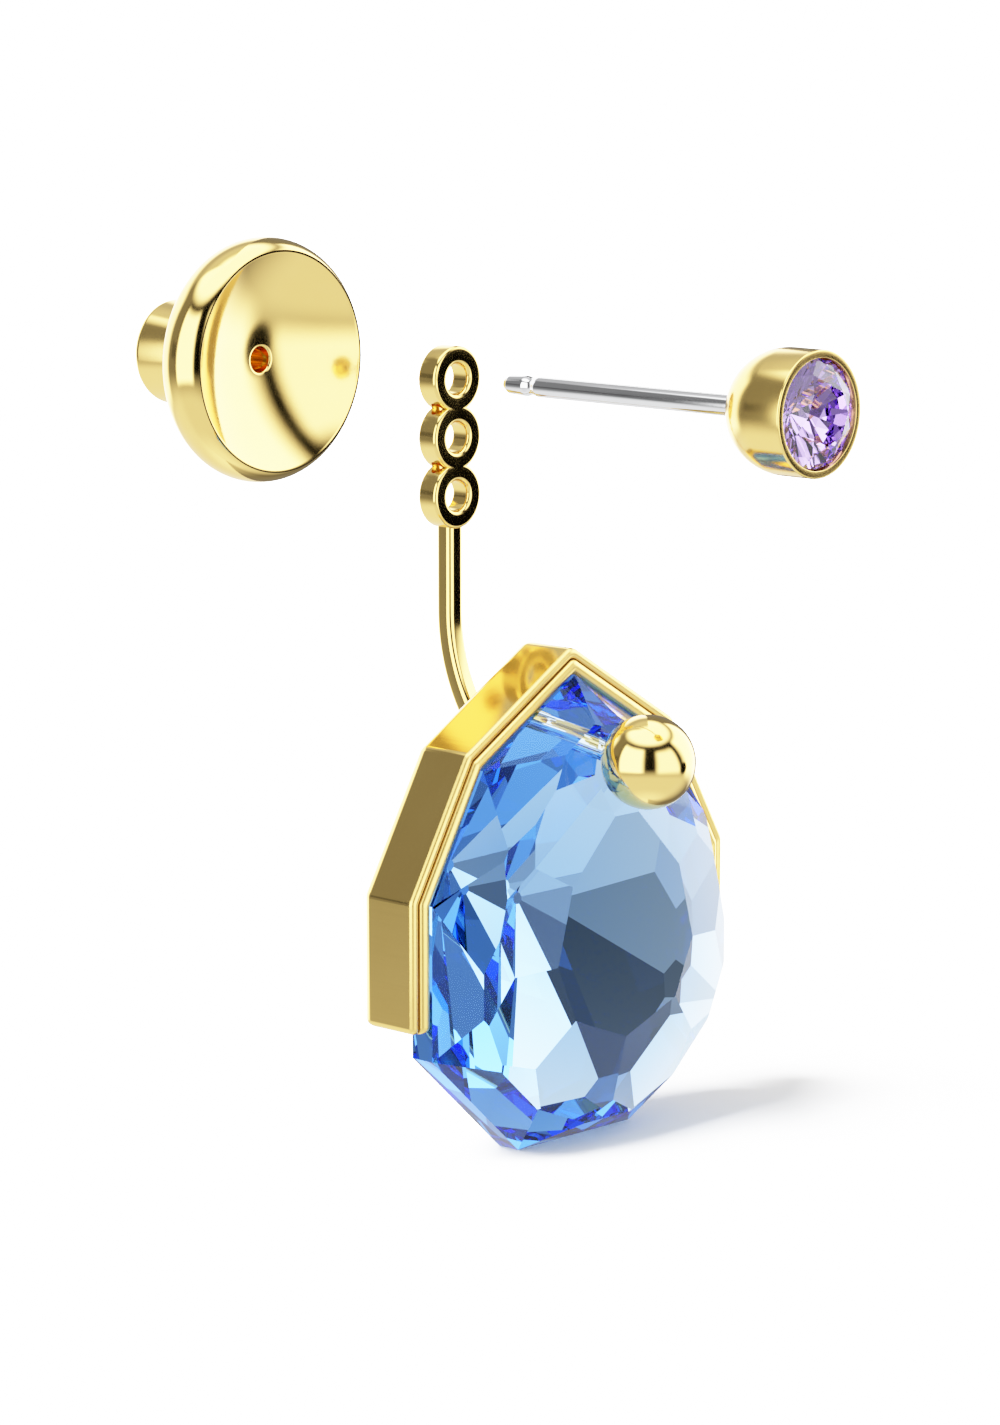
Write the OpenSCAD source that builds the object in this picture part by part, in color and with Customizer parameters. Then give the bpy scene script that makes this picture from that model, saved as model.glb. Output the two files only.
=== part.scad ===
// Ear jacket earring, shown taken apart along the line of its post.
// Millimetres. X is right seen from the front, Y is back, Z is up.
// The origin is the middle of the top ring's bore, in the ring's front face.
// Every piece is drawn where it sits in the photo.

/* [Rings] */
// How many rings stand one above the other
ring_count = 3; // [2:1:4]
// Distance from one ring's middle to the next
ring_pitch = 2.31; // [2.2:0.01:2.4]
// Outer radius of a ring
ring_r = 1.3; // [1.22:0.02:1.4]
// Thickness of a ring, front to back
ring_t = 0.97; // [0.9:0.01:1.2]
// Rounding of a ring's outer edges
ring_edge = 0.14; // [0.05:0.01:0.2]
// Radius of a ring's bore
bore_r = 0.6; // [0.5:0.01:0.7]
// Width of the chamfer at both ends of a bore
bore_chamfer = 0.14; // [0.05:0.01:0.2]
// Radius of the small relief hole at each side of the place where two rings meet
notch_r = 0.21; // [0.1:0.01:0.25]

/* [Stem and pin] */
// Side of the rounded-square stem
stem_w = 0.8; // [0.6:0.02:0.9]
// Rounding of the stem's corners
stem_corner = 0.22; // [0.1:0.01:0.28]
// Height below the origin at which the stem starts to bend
bend_drop = 9.2; // [9:0.1:10]
// Radius of the long bend, to the stem's middle
bend_r = 7.1; // [6.5:0.1:8]
// Radius of the tight bend that turns the stem into the pin
elbow_r = 1.5; // [1.2:0.05:1.7]
// Height of the pin below the origin
pin_drop = 14; // [13.8:0.05:14.3]
// Radius of the pin
pin_r = 0.4; // [0.3:0.01:0.45]
// Gap left between neighbouring pieces
gap = 0.03; // [0.02:0.01:0.05]

/* [Blue crystal] */
// Height of the stone's middle below the origin
stone_drop = 20.3; // [20.1:0.05:20.6]
// Half of the stone's width between its upright sides
stone_half = 7.95; // [7.6:0.05:8.3]
// Rise of the top corner above the stone's middle
top_rise = 9.25; // [9:0.05:9.6]
// Sideways place of the upper shoulder corners
shoulder_x = 5.15; // [4.8:0.05:5.4]
// Rise of the upper shoulder corners
shoulder_rise = 6.15; // [5.9:0.05:6.4]
// Rise of the upper ends of the upright sides
side_rise = 1.3; // [1:0.05:1.6]
// Drop of the lower ends of the upright sides
side_fall = 4.75; // [4.5:0.05:5]
// Half of the width of the bottom side
foot_x = 3.2; // [2.8:0.05:3.6]
// Drop of the bottom side
foot_fall = 9.1; // [8.8:0.05:9.4]
// Distance of the girdle's front edge in front of the origin
girdle_front = 6.27; // [6.1:0.01:6.4]
// Height of the girdle wall, front to back
girdle_t = 1.05; // [0.8:0.05:1.3]
// Height of the table above the girdle's front edge
crown_h = 2.75; // [2.5:0.05:3]
// Height at which the steep outer crown facets end
crown_step = 1.75; // [1.5:0.05:1.9]
// Slope of the steep outer crown facets, degrees
crown_steep = 60; // [56:1:64]
// Slope of the crown facets that start at the corners, degrees
crown_corner = 47; // [44:1:50]
// Slope of the upper crown facets, degrees
crown_flat = 24; // [20:1:28]
// Slope of the facets beside the table, degrees
crown_star = 15; // [12:1:18]
// Depth of the pavilion behind the girdle wall
pavilion_h = 5; // [4.5:0.1:5.5]
// Depth at which the outer pavilion facets end
pavilion_step = 2.1; // [1.8:0.05:2.4]
// Slope of the outer pavilion facets, degrees
pavilion_steep = 48; // [45:1:52]
// Slope of the pavilion facets that start at the corners, degrees
pavilion_corner = 41; // [38:1:44]

/* [Bezel band] */
// Thickness of the band's wall
band_t = 0.93; // [0.8:0.01:1]
// Distance of the band's back edge in front of the origin
band_back = 3.35; // [3.2:0.05:3.5]
// Depth of the band's plain wall, front to back
band_depth = 2.65; // [2.5:0.05:2.8]
// Height below the stone's middle at which the band ends
band_fall = 3.6; // [3.2:0.05:4]
// Radius of the outer bead of the front rim
bead_outer = 0.22; // [0.18:0.01:0.24]
// Radius of the inner bead of the front rim
bead_inner = 0.27; // [0.22:0.01:0.29]
// Width of the chamfer at the band's back edges
band_edge = 0.14; // [0.08:0.01:0.2]

/* [Ball] */
// Radius of the ball
ball_r = 1.83; // [1.7:0.01:1.95]
// Distance of the ball's middle in front of the origin
ball_front = 10.1; // [10:0.05:10.3]

/* [Stud] */
// Distance of the cup's front rim in front of the origin
cup_front = 18.43; // [18:0.05:19]
// Outer radius of the cup
cup_r = 2.38; // [2.3:0.01:2.5]
// Length of the cup's cylinder before its round back
cup_wall = 1.45; // [1.3:0.05:1.6]
// Width of the cup's flat front rim
cup_rim = 0.3; // [0.25:0.01:0.36]
// Depth of the violet stone's girdle behind the rim
seat_drop = 0.16; // [0.1:0.01:0.2]
// Height of the violet stone's table above its girdle
round_crown = 0.55; // [0.45:0.01:0.6]
// Depth of the violet stone behind its girdle
round_pavilion = 1.6; // [1.4:0.05:1.75]
// Radius of the post
post_r = 0.4; // [0.35:0.01:0.45]
// Distance of the post's tip in front of the origin
post_tip = 2.62; // [2.4:0.02:3]
// Depth of the shallow groove near the post's tip
groove_depth = 0.06; // [0.03:0.01:0.08]
// Width of the groove
groove_w = 0.78; // [0.6:0.02:0.9]
// Distance of the groove from the post's tip
groove_start = 1.06; // [0.9:0.02:1.2]

/* [Clutch] */
// Distance of the clutch's front edge behind the origin
clutch_back = 9.99; // [9.8:0.01:10.3]
// Radius of the sharp ring between rim and dish
dish_r = 4.5; // [4.3:0.02:4.7]
// Depth of the dish at the bore
dish_depth = 1.25; // [1.1:0.05:1.4]
// Half of the rolled rim's thickness, across
rim_r = 0.95; // [0.9:0.01:1]
// Half of the rolled rim's thickness, front to back
rim_half = 1.25; // [1.15:0.01:1.3]
// Radius of the neck at its end
neck_r = 2.22; // [2.1:0.02:2.35]
// Radius of the waist between the neck and the disc
waist_r = 1.6; // [1.5:0.02:1.9]
// Length of the whole clutch
clutch_len = 6.65; // [6.4:0.05:7]
// Radius of the clutch's wide front bore
lead_r = 0.53; // [0.5:0.01:0.6]
// Play between the post and the clutch's inner bore
grip_play = 0.04; // [0.02:0.01:0.08]

/* [Hidden] */
$fn = 48;
GOLD = [0.86, 0.7, 0.32];
STEEL = [0.75, 0.76, 0.78];
BLUE = [0.25, 0.5, 0.95];
VIOLET = [0.66, 0.5, 0.86];
BIG = 40;
lowest_z = -(ring_count - 1) * ring_pitch;
stem_y = ring_t / 2;
bend_turn = asin((pin_drop - bend_drop - elbow_r) / (bend_r - elbow_r));
elbow_y = stem_y - bend_r * (1 - cos(bend_turn));
elbow_z = -bend_drop - bend_r * sin(bend_turn);
pin_y = elbow_y - elbow_r * cos(bend_turn);
pin_end = -(ball_front + 0.45 * ball_r);
stone_z = -stone_drop;
crown_y = -girdle_front;
pavilion_y = crown_y + girdle_t;
outline = [
    [-stone_half, -side_fall], [-stone_half, side_rise],
    [-shoulder_x, shoulder_rise], [0, top_rise], [shoulder_x, shoulder_rise],
    [stone_half, side_rise], [stone_half, -side_fall],
    [foot_x, -foot_fall], [-foot_x, -foot_fall]
];
corners = len(outline);
seat_y = -(cup_front - seat_drop);
seat_r = cup_r - cup_rim;
round_r = seat_r - gap;
dome_y = -(cup_front - cup_wall);
post_end = dome_y + 0.72 * cup_r;
rim_mid = [dish_r - 0.46 * rim_r, sqrt(1 - 0.46 * 0.46) * rim_half];
bowl_edge = lead_r + 0.06;
bowl_y = (bowl_edge * bowl_edge + dish_depth * dish_depth - dish_r * dish_r) / (2 * dish_depth);
bowl_r = sqrt(dish_r * dish_r + bowl_y * bowl_y);
grip_r = post_r + grip_play;

// Two-dimensional helpers
function unit(v) = v / norm(v);
function outward(a, b) = unit([a[1] - b[1], b[0] - a[0]]);
function side_from(i) = outline[i % corners];
function side_to(i) = outline[(i + 1) % corners];
function side_out(i) = outward(side_from(i), side_to(i));
function corner_out(i) = unit(side_out((i + corners - 1) % corners) + side_out(i));
function turn_of(v) = atan2(v[1], v[0]);

// Turns a shape drawn along Z so that it runs to the back along Y
module to_back() {
    rotate([-90, 0, 0])
        children();
}

// Removes everything beyond a plane: a point, the turn of its outward
// direction in the XZ plane, and its lean to the front in degrees
module beyond(point, turn, lean) {
    translate(point)
        rotate([0, -turn, 0])
            rotate([0, 0, -lean])
                translate([0, -BIG / 2, -BIG / 2])
                    cube([BIG, BIG, BIG]);
}

// A square with rounded corners, middle at the origin
module soft_square(w, c) {
    square([w, w - 2 * c], center = true);
    square([w - 2 * c, w], center = true);
    for (x = [-1, 1], y = [-1, 1])
        translate([x * (w / 2 - c), y * (w / 2 - c)])
            circle(r = c);
}

// One ring without its bore, its front face at Y = 0
module ring_blank() {
    to_back()
        rotate_extrude() {
            square([ring_r - ring_edge, ring_t]);
            translate([0, ring_edge])
                square([ring_r, ring_t - 2 * ring_edge]);
            for (y = [ring_edge, ring_t - ring_edge])
                translate([ring_r - ring_edge, y])
                    circle(r = ring_edge);
        }
}

// The bore of one ring with a chamfer at each end
module ring_bore() {
    to_back() {
        translate([0, 0, -1])
            cylinder(h = ring_t + 2, r = bore_r);
        translate([0, 0, -0.01])
            cylinder(h = bore_chamfer + 0.01, r1 = bore_r + bore_chamfer + 0.01, r2 = bore_r);
        translate([0, 0, ring_t - bore_chamfer])
            cylinder(h = bore_chamfer + 0.01, r1 = bore_r, r2 = bore_r + bore_chamfer + 0.01);
    }
}

// The relief holes, drilled from both sides where two rings meet
module ring_notches() {
    meet_x = sqrt(ring_r * ring_r - pow(ring_pitch / 2, 2));
    for (x = [-1, 1])
        translate([x * (meet_x - 0.25), 0.53 * ring_t, -ring_pitch / 2])
            rotate([0, 90 * x, 0]) {
                cylinder(h = 1, r = notch_r);
                translate([0, 0, -notch_r])
                    cylinder(h = notch_r, r1 = 0.001, r2 = notch_r);
            }
}

// Rings, stem and pin, soldered into one piece
module hanger() {
    color(GOLD)
        difference() {
            union() {
                for (k = [0 : ring_count - 1])
                    translate([0, 0, -k * ring_pitch])
                        ring_blank();
                stem();
            }
            for (k = [0 : ring_count - 1])
                translate([0, 0, -k * ring_pitch])
                    ring_bore();
            for (k = [0 : ring_count - 2])
                translate([0, 0, -k * ring_pitch])
                    ring_notches();
        }
}

// The stem with its two bends, and the round pin at its end
module stem() {
    stem_top = lowest_z - ring_r + 0.3;
    translate([0, stem_y, -bend_drop])
        linear_extrude(height = bend_drop + stem_top)
            soft_square(stem_w, stem_corner);
    translate([0, stem_y - bend_r, -bend_drop])
        rotate([0, 90, 0])
            rotate([0, 0, 90 - bend_turn])
                rotate_extrude(angle = bend_turn)
                    translate([bend_r, 0])
                        soft_square(stem_w, stem_corner);
    translate([0, elbow_y - elbow_r * cos(bend_turn), elbow_z + elbow_r * sin(bend_turn)])
        rotate([0, 90, 0])
            rotate_extrude(angle = 90 - bend_turn)
                translate([elbow_r, 0])
                    soft_square(stem_w, stem_corner);
    translate([0, pin_end, -pin_drop])
        to_back()
            cylinder(h = pin_y - pin_end, r = pin_r);
}

// A point of the stone's outline moved outward, mitred at the corners
function moved(i, d) = outline[i] + corner_out(i) * d / (corner_out(i) * side_out(i));

// The band's path, a distance outside the stone, open at the bottom
function path_at(d) = concat(
    [[-stone_half - d, -band_fall]],
    [for (i = [1 : corners - 4]) moved(i, d)],
    [[stone_half + d, -band_fall]]
);

// Points on an arc, in even steps
function arc(mid, r, from, to, count) = [
    for (k = [0 : count])
        let (turn = from + (to - from) * k / count)
            mid + r * [cos(turn), sin(turn)]
];

// The gold band round the stone's top and sides: its section, swept along
// the path. In the section the stone lies to the right, the front is down
module bezel_band() {
    outer_mid = [-band_t + bead_outer, -band_depth];
    inner_mid = [-bead_inner, -band_depth - 0.06];
    span = inner_mid - outer_mid;
    reach = norm(span);
    near = (reach * reach + bead_outer * bead_outer - bead_inner * bead_inner) / (2 * reach);
    down = sqrt(bead_outer * bead_outer - near * near);
    groove = outer_mid + unit(span) * near + [span[1], -span[0]] / reach * down;
    steps = 7;
    section = concat(
        [[-band_t, -band_edge], [-band_t + band_edge, 0], [-band_edge, 0], [0, -band_edge]],
        arc(inner_mid, bead_inner, 0, turn_of(groove - inner_mid), steps),
        [for (k = [1 : steps])
            arc(outer_mid, bead_outer, turn_of(groove - outer_mid), -180, steps)[k]]
    );
    n = len(section);
    m = len(path_at(0));
    dip = 4 + steps;
    points = [
        for (i = [0 : m - 1], j = [0 : n - 1])
            let (q = path_at(gap - section[j][0])[i])
                [q[0], -band_back + section[j][1], stone_z + q[1]]
    ];
    walls = [
        for (i = [0 : m - 2], j = [0 : n - 1])
            let (a = i * n + j, b = i * n + (j + 1) % n)
                [a, b, b + n, a + n]
    ];
    cap = [[0, 1, 2, 3, 4, dip, n - 1], [for (j = [4 : dip]) j], [for (j = [dip : n - 1]) j]];
    starts = [for (f = cap) [for (k = [len(f) - 1 : -1 : 0]) f[k]]];
    stops = [for (f = cap) [for (j = f) j + (m - 1) * n]];
    color(GOLD)
        polyhedron(points = points, faces = concat(walls, starts, stops));
}

// The large stone, cut facet by facet from a nine-sided block
module blue_crystal() {
    color(BLUE)
        difference() {
            translate([0, pavilion_y + pavilion_h - 0.1, stone_z])
                rotate([90, 0, 0])
                    linear_extrude(height = pavilion_h - 0.1 + girdle_t + crown_h)
                        polygon(outline);
            for (i = [0 : corners - 1]) {
                crown_facets(i);
                pavilion_facets(i);
            }
            translate([0, pin_end - 1, -pin_drop])
                to_back()
                    cylinder(h = pin_y - pin_end + 2, r = pin_r + gap);
            translate([0, -ball_front, -pin_drop])
                sphere(r = ball_r + gap);
        }
}

// Four crown facets that belong to one corner and one side
module crown_facets(i) {
    a = side_from(i);
    m = (a + side_to(i)) / 2;
    so = side_out(i);
    co = corner_out(i);
    run = crown_step / tan(crown_steep);
    beyond([m[0], crown_y, stone_z + m[1]], turn_of(so), 90 - crown_steep);
    beyond([a[0], crown_y, stone_z + a[1]], turn_of(co), 90 - crown_corner);
    beyond([m[0] - so[0] * run, crown_y - crown_step, stone_z + m[1] - so[1] * run],
        turn_of(so), 90 - crown_flat);
    star = a - co * 0.42 * norm(a);
    beyond([star[0], crown_y - 2.42, stone_z + star[1]], turn_of(co), 90 - crown_star);
}

// Four pavilion facets that belong to one corner and one side
module pavilion_facets(i) {
    a = side_from(i);
    m = (a + side_to(i)) / 2;
    so = side_out(i);
    co = corner_out(i);
    run = pavilion_step / tan(pavilion_steep);
    inner = m * so - run;
    slope = atan2(pavilion_h - pavilion_step, inner);
    beyond([m[0], pavilion_y, stone_z + m[1]], turn_of(so), pavilion_steep - 90);
    beyond([a[0], pavilion_y, stone_z + a[1]], turn_of(co), pavilion_corner - 90);
    beyond([0, pavilion_y + pavilion_h, stone_z], turn_of(so), slope - 90);
    beyond([0, pavilion_y + pavilion_h, stone_z], turn_of(co), slope - 91.5);
}

// The ball, half drilled for the pin
module ball() {
    color(GOLD)
        difference() {
            translate([0, -ball_front, -pin_drop])
                sphere(r = ball_r);
            translate([0, pin_end - gap, -pin_drop])
                to_back()
                    cylinder(h = ball_front + ball_r + 1, r = pin_r + gap);
        }
}

// The cup of the stud with its round back
module stud_cup() {
    color(GOLD)
        difference() {
            union() {
                translate([0, -cup_front, 0])
                    to_back()
                        cylinder(h = cup_wall, r = cup_r);
                intersection() {
                    translate([0, dome_y, 0])
                        sphere(r = cup_r);
                    translate([-BIG / 2, dome_y, -BIG / 2])
                        cube([BIG, BIG, BIG]);
                }
            }
            translate([0, -cup_front - 1, 0])
                to_back()
                    cylinder(h = 1 + seat_drop + 0.25, r = seat_r);
            translate([0, seat_y + 0.25, 0])
                to_back()
                    cylinder(h = round_pavilion, r1 = seat_r, r2 = 0.2);
            translate([0, post_end - gap, 0])
                to_back()
                    cylinder(h = 3 * cup_r, r = post_r + gap);
        }
}

// A ring of points round the stud's axis, at a radius and a place in Y
function points_at(count, r, y, turn) = [
    for (k = [0 : count - 1])
        [r * cos(turn + 360 * k / count), y, r * sin(turn + 360 * k / count)]
];

// The violet round brilliant: kites, stars and halves round a table
module stud_crystal() {
    table_r = 0.56 * round_r;
    star_r = 0.8 * round_r;
    heel_r = 0.25 * round_r;
    back_y = seat_y + 0.1;
    star_h = round_crown * (round_r - star_r * cos(22.5)) / (round_r - table_r);
    heel_d = round_pavilion * (1 - heel_r * cos(22.5) / round_r);
    color(VIOLET)
        hull()
            polyhedron(points = concat(
                points_at(8, table_r, seat_y - round_crown, 0),
                points_at(8, star_r, seat_y - star_h, 22.5),
                points_at(16, round_r, seat_y, 0),
                points_at(16, round_r, back_y, 0),
                points_at(8, heel_r, back_y + heel_d, 22.5),
                [[0, back_y + round_pavilion, 0]]
            ), faces = [[for (k = [0 : 56]) k]]);
}

// The steel post with its eased tip and shallow groove
module post() {
    tip_y = -post_tip;
    color(STEEL)
        difference() {
            union() {
                translate([0, post_end, 0])
                    to_back()
                        cylinder(h = tip_y - 1.35 - post_end, r = post_r);
                translate([0, tip_y - 1.35, 0])
                    to_back()
                        cylinder(h = 1.1, r1 = post_r, r2 = post_r - 0.04);
                translate([0, tip_y - 0.25, 0])
                    to_back()
                        cylinder(h = 0.25, r1 = post_r - 0.04, r2 = post_r - 0.17);
            }
            translate([0, tip_y - groove_start - groove_w, 0])
                to_back()
                    difference() {
                        cylinder(h = groove_w, r = post_r + 1);
                        translate([0, 0, -1])
                            cylinder(h = 3, r = post_r - groove_depth);
                    }
        }
}

// The clutch, turned from one piece
module clutch() {
    color(GOLD)
        translate([0, clutch_back, 0])
            to_back()
                rotate_extrude()
                    clutch_profile();
}

// The clutch's section: the axis is at the left, the front is down
module clutch_profile() {
    back = rim_mid[1] + rim_half;
    difference() {
        union() {
            polygon([for (k = [0 : 35])
                rim_mid + [rim_r * cos(10 * k), rim_half * sin(10 * k)]]);
            polygon([
                [lead_r, 0], [dish_r, 0], rim_mid, [rim_mid[0], back],
                [waist_r + 0.5, back + 0.5], [waist_r, back + 1], [neck_r, clutch_len - 0.3],
                [neck_r - 0.3, clutch_len], [grip_r, clutch_len],
                [grip_r, dish_depth + 1.2], [lead_r, dish_depth + 1.2]
            ]);
            translate([neck_r - 0.3, clutch_len - 0.3])
                circle(r = 0.3);
        }
        translate([0, bowl_y])
            circle(r = bowl_r);
        polygon([
            [-1, -1], [bowl_edge, -1], [bowl_edge, dish_depth],
            [lead_r, dish_depth + 0.06], [lead_r, dish_depth + 1.3],
            [grip_r, dish_depth + 1.4], [grip_r, clutch_len - 0.2],
            [grip_r + 0.2, clutch_len], [grip_r + 0.2, clutch_len + 1], [-1, clutch_len + 1]
        ]);
    }
}

hanger();
bezel_band();
blue_crystal();
ball();
stud_cup();
stud_crystal();
post();
clutch();
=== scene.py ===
# %% [markdown]
# One earring of the front-and-back kind, taken apart along the line of its
# post: a gold clutch at the back left, the gold jacket with its large blue
# stone in the middle, and the stud with its violet stone at the front right.
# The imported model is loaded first, because every piece below is fitted to it.

# %% Load the frame
import math
import bmesh
import bpy
import numpy as np
from mathutils import Matrix, Vector


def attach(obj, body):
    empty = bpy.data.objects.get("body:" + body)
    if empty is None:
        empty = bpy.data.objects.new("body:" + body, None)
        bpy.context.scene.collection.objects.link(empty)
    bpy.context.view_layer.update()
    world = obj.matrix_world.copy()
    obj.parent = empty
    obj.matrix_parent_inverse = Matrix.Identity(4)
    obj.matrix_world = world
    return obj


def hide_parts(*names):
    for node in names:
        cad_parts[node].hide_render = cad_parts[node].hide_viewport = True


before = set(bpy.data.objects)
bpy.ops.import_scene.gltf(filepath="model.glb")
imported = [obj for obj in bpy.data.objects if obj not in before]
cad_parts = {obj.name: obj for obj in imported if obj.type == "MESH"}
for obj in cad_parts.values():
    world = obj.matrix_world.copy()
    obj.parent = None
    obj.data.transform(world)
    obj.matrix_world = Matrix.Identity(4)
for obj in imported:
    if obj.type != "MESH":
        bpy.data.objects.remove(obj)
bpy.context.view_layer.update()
MM = 0.001

# %% [markdown]
# The camera stands low at the left front, far away, so the picture has little
# perspective. Its place and lens were worked out from the round parts, whose
# sizes and places along the post are known. It could be placed by eye, but a
# worked-out camera lets each piece be compared with the photograph directly.

# %% Camera
deg = math.radians


def placed(name, data):
    """A new object with this data, put into the scene."""
    made = bpy.data.objects.new(name, data)
    bpy.context.scene.collection.objects.link(made)
    return made


def aim(piece, direction):
    """Turns a camera or a lamp so that it looks in the direction, with its top side up."""
    piece.rotation_mode = "QUATERNION"
    piece.rotation_quaternion = direction.to_track_quat("-Z", "Y")


eye = Vector((-133.279, -129.099, 19.031)) * MM
turn, dip = deg(46.4176), deg(9.8786)
look = Vector((math.sin(turn) * math.cos(dip), math.cos(turn) * math.cos(dip), -math.sin(dip)))
lens = bpy.data.cameras.new("camera")
lens.lens, lens.sensor_width = 119.79, 36
lens.clip_start, lens.clip_end = 0.01, 20
camera = placed("camera", lens)
camera.location = eye
aim(camera, look)
bpy.context.scene.camera = camera
print("camera looks along", [round(v, 3) for v in look])

# %% [markdown]
# All pieces are worked out in millimetres as grids of points. A grid has two
# directions; where a direction comes back to its start, its last row is
# joined to its first. Rows that shrink to one point, as at the pole of a
# ball, are merged, so that every surface is closed.

# %% From a grid of points to a mesh


def grid_faces(rows, cols, wrap_rows=True, wrap_cols=False):
    """Four-sided faces between neighbours: point (i, j), (i+1, j), (i+1, j+1), (i, j+1),
    where the number of a point is its row times the row length plus its column."""
    i, j = np.meshgrid(
        np.arange(rows if wrap_rows else rows - 1),
        np.arange(cols if wrap_cols else cols - 1), indexing="ij")
    i2, j2 = (i + 1) % rows, (j + 1) % cols
    corners = [i * cols + j, i2 * cols + j, i2 * cols + j2, i * cols + j2]
    return np.stack(corners, -1).reshape(-1, 4)


def tube_faces(rows, cols):
    """The faces of a tube whose rows run round it, with one face across each open end."""
    first, last = list(range(cols)), list(range((rows - 1) * cols, rows * cols))
    return [*grid_faces(rows, cols, False, True), first, last]


def solid(name, points, faces):
    """An object from points in millimetres: doubles merged, faces turned outward."""
    mesh = bpy.data.meshes.new(name)
    mesh.from_pydata(np.reshape(points, (-1, 3)).tolist(), [], [list(f) for f in faces])
    bm = bmesh.new()
    bm.from_mesh(mesh)
    bmesh.ops.remove_doubles(bm, verts=bm.verts, dist=1e-5)
    bmesh.ops.dissolve_degenerate(bm, edges=bm.edges, dist=1e-6)
    bmesh.ops.recalc_face_normals(bm, faces=bm.faces)
    bm.to_mesh(mesh)
    bm.free()
    return placed(name, mesh)


# %% [markdown]
# Turned parts are what a lathe makes: one outline swept round an axis. A
# primitive cylinder has no eased edges, so the outline is drawn point by
# point, and each of its corners is replaced by a small arc. On polished metal
# these arcs are what catches the light.

# %% Outlines with eased corners, and turning


def arc(mid, radius, start, stop, steps):
    """Points at mid plus radius times the cosine and sine of angles from start to stop, in
    degrees."""
    a = np.radians(np.linspace(start, stop, steps + 1))
    return np.stack([mid[0] + radius * np.cos(a), mid[1] + radius * np.sin(a)], -1)


def eased(corners, radii, closed=False, steps=6):
    """Each corner becomes an arc that touches both sides: it starts the radius over the
    tangent of half the inside angle away, and its middle lies on the corner's bisector."""
    c, r = np.asarray(corners, float), np.asarray(radii, float)
    back, on = np.roll(c, 1, 0) - c, np.roll(c, -1, 0) - c
    back /= np.linalg.norm(back, axis=1)[:, None] + 1e-12
    on /= np.linalg.norm(on, axis=1)[:, None] + 1e-12
    if not closed:
        r = np.concatenate([[0], r[1:-1], [0]])
    half = 0.5 * np.arccos(np.clip((back * on).sum(1), -1, 0.9999))
    way = back + on
    way /= np.linalg.norm(way, axis=1)[:, None] + 1e-12
    mid = c + way * (r / np.sin(half))[:, None]
    begin, end = c + back * (r / np.tan(half))[:, None], c + on * (r / np.tan(half))[:, None]
    a0 = np.arctan2(*(begin - mid).T[::-1])
    a1 = np.arctan2(*(end - mid).T[::-1])
    sweep = (a1 - a0 + np.pi) % (2 * np.pi) - np.pi
    a = a0[:, None] + sweep[:, None] * np.linspace(0, 1, steps + 1)
    out = mid[:, None] + r[:, None, None] * np.stack([np.cos(a), np.sin(a)], -1)
    out[r == 0] = c[r == 0][:, None]
    out = out.reshape(-1, 2)
    keep = np.linalg.norm(out - np.roll(out, 1, 0), axis=1) > 1e-6
    keep[0] = True
    return out[keep]


def turned(name, outline, mid=(0, 0), steps=160, closed=False):
    """x is r cos t plus the middle's x, z is r sin t plus the middle's z, and y is kept,
    for every outline point (r, y) and every t of one full turn."""
    t = np.linspace(0, 2 * np.pi, steps, endpoint=False)[:, None]
    r, y = outline[:, 0][None], outline[:, 1][None]
    points = np.stack([mid[0] + r * np.cos(t), y + 0 * t, mid[1] + r * np.sin(t)], -1)
    return solid(name, points, grid_faces(steps, len(outline), True, closed))


def combine(body, tool, how):
    """Joins the tool to the body (UNION) or cuts it away (DIFFERENCE), then drops the tool."""
    step = body.modifiers.new("cut", "BOOLEAN")
    step.operation, step.object, step.solver = how, tool, "EXACT"
    shape = body.evaluated_get(bpy.context.evaluated_depsgraph_get())
    body.data = bpy.data.meshes.new_from_object(shape)
    body.modifiers.clear()
    bpy.data.objects.remove(tool)


# %% [markdown]
# The sizes below are the real ones of this earring, and they match the solids
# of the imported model. They stand together here, because pieces that touch
# share them. The stone's outline is given by its nine corners seen from the
# front, measured from the stone's middle.

# %% Sizes in millimetres
ring_r, ring_t, ring_pitch, bore_r = 1.3, 0.97, 2.31, 0.6
stem_w, stem_y, bend_drop, bend_r = 0.8, 0.485, 9.2, 7.1
elbow_r, pin_drop, pin_r = 1.5, 14.0, 0.4
ball_r, ball_y = 1.83, -10.1
pin_end = ball_y - 0.45 * ball_r
bend = math.asin((pin_drop - bend_drop - elbow_r) / (bend_r - elbow_r))
stone_z, stone_half, gap = -20.3, 7.95, 0.03
band_y, band_wall, band_end = -6.0, 0.93, 3.6
post_r = 0.4
side = np.array([
    [-stone_half, -4.75], [-stone_half, 1.3], [-5.15, 6.15], [0, 9.25], [5.15, 6.15],
    [stone_half, 1.3], [stone_half, -4.75], [3.2, -9.1], [-3.2, -9.1]])
print("bend of the stem:", round(math.degrees(bend), 2), "degrees")

# %% [markdown]
# Polished gold is a mirror with a colour. A single flat gold looks like
# plastic, so three fine things are laid over it: cloudy changes of tone, a
# faint ripple left by polishing, and hair-thin scratches in one direction.
# All are worked out from the place on the piece, with no picture.

# %% Helpers for materials


def preset(node, **values):
    """Sets inputs of a node by name, an underscore standing for a space; gives the node back."""
    for name, value in values.items():
        node.inputs[name.replace("_", " ")].default_value = value
    return node


def fresh(name):
    """A new material, with its tree of nodes and its main shader."""
    mat = bpy.data.materials.new(name)
    mat.use_nodes = True
    return mat, mat.node_tree, mat.node_tree.nodes["Principled BSDF"]


def two_tone(tree, dark, light):
    """A mix of two colours: all dark where its factor is 0, all light where it is 1."""
    tone = tree.nodes.new("ShaderNodeMix")
    tone.data_type = "RGBA"
    return preset(tone, A=(*dark, 1), B=(*light, 1))


def link_chain(tree, *pairs):
    """Joins each output to its input in a tree of nodes."""
    for out, into in pairs:
        tree.links.new(out, into)


# %% Gold, steel and foil


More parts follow.
